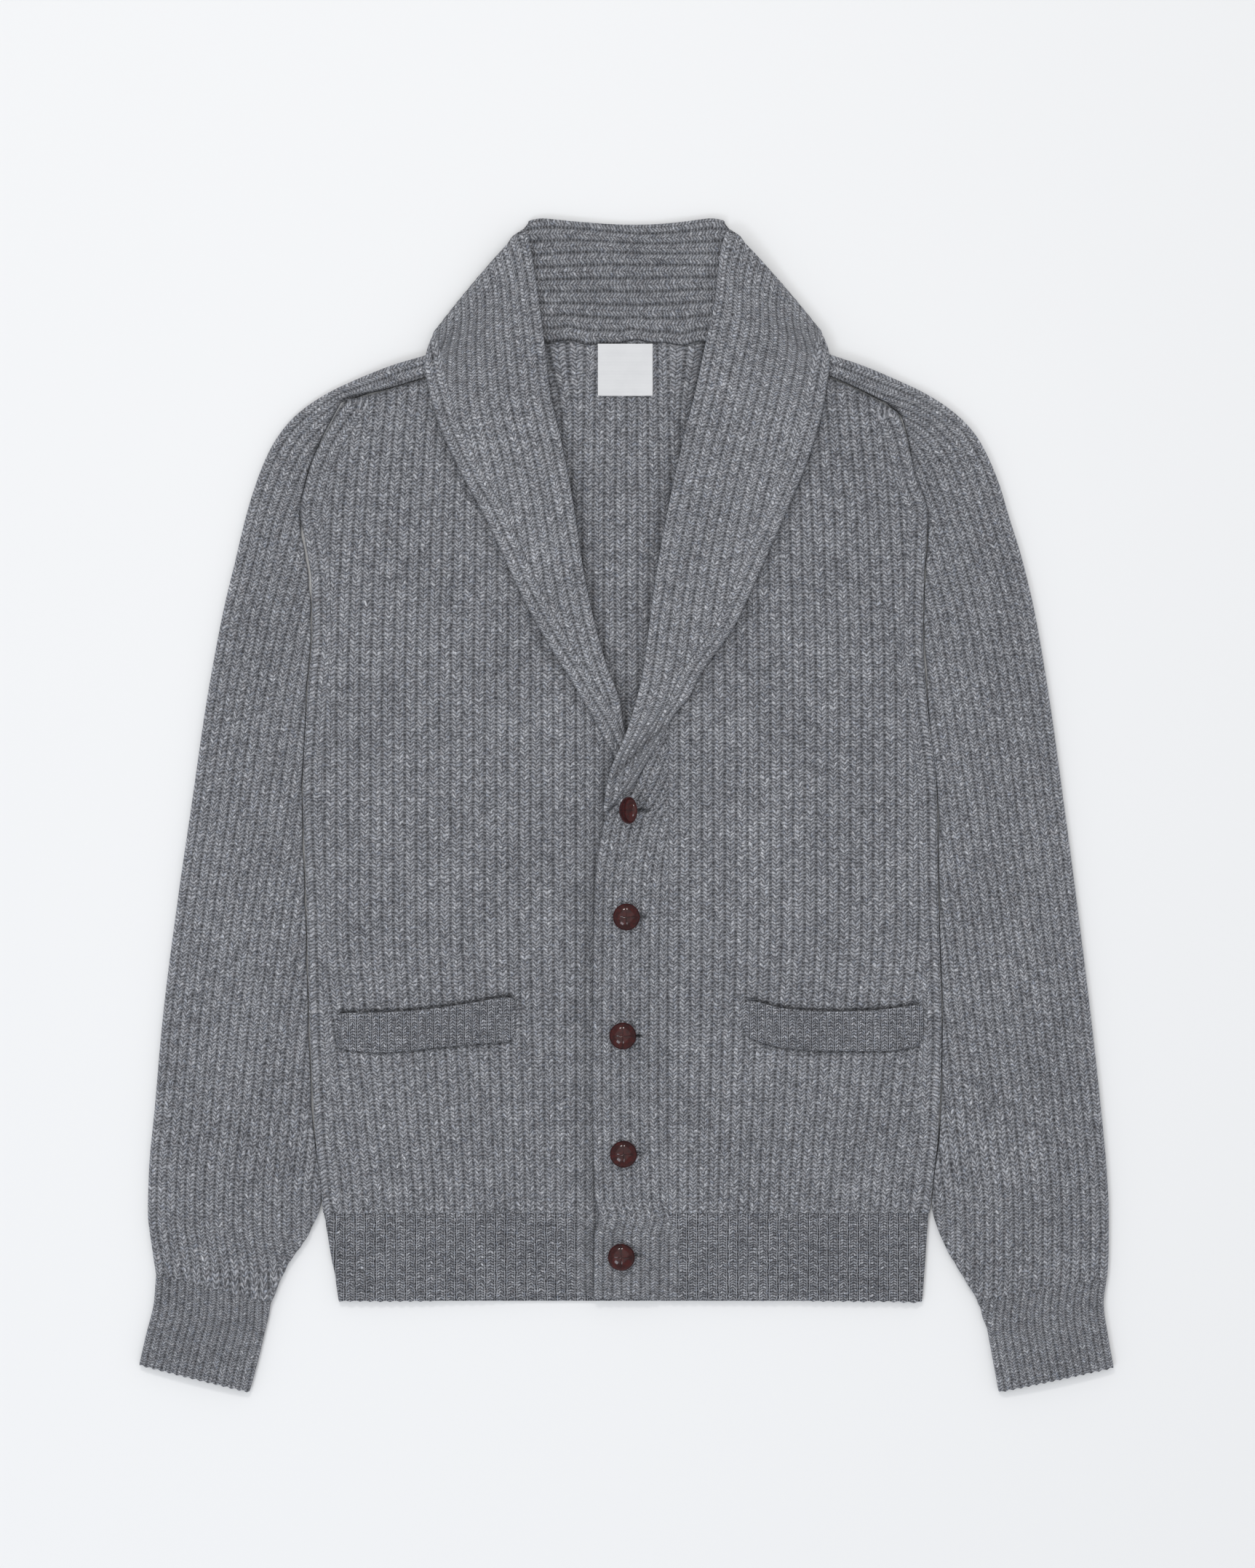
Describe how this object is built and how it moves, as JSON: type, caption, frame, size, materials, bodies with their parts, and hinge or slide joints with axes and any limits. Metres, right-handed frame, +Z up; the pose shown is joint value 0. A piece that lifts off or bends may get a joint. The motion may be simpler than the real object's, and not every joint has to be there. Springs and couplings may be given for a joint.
{
  "type": "shawl collar cardigan",
  "caption": "Chunky rib-knit cardigan with a wide shawl collar, saddle shoulders and inset pockets, buttoned up and laid flat on its back.",
  "frame": {"origin": "centre of the bounding box's underside, on the surface that the garment lies on", "axes": "+X to the wearer's left, +Y from the hem towards the collar, +Z up out of the surface, through the back and then the fronts"},
  "size_m": [0.7106, 0.854, 0.0255],
  "materials": {
    "knit": "melange grey wool in a half-cardigan rib, soft and slightly hairy, no shine",
    "rib": "the same yarn in a finer and tighter rib, a little darker",
    "label": "plain white woven satin label, no lettering",
    "button": "dark oxblood polished plastic with crossed grooves"
  },
  "bodies": {
    "root": {"back": "knit", "band_left": "knit", "band_right": "knit", "button_1": "button", "button_2": "button", "button_3": "button", "button_4": "button", "button_5": "button", "collar_back": "knit", "collar_left": "knit", "collar_right": "knit", "cuff_left": "rib", "cuff_right": "rib", "front_left": "knit", "front_right": "knit", "hem_back": "rib", "hem_left": "rib", "hem_right": "rib", "neck_label": "label", "pocket_welt_left": "rib", "pocket_welt_right": "rib", "sleeve_left": "knit", "sleeve_right": "knit"}
  },
  "joints": []
}
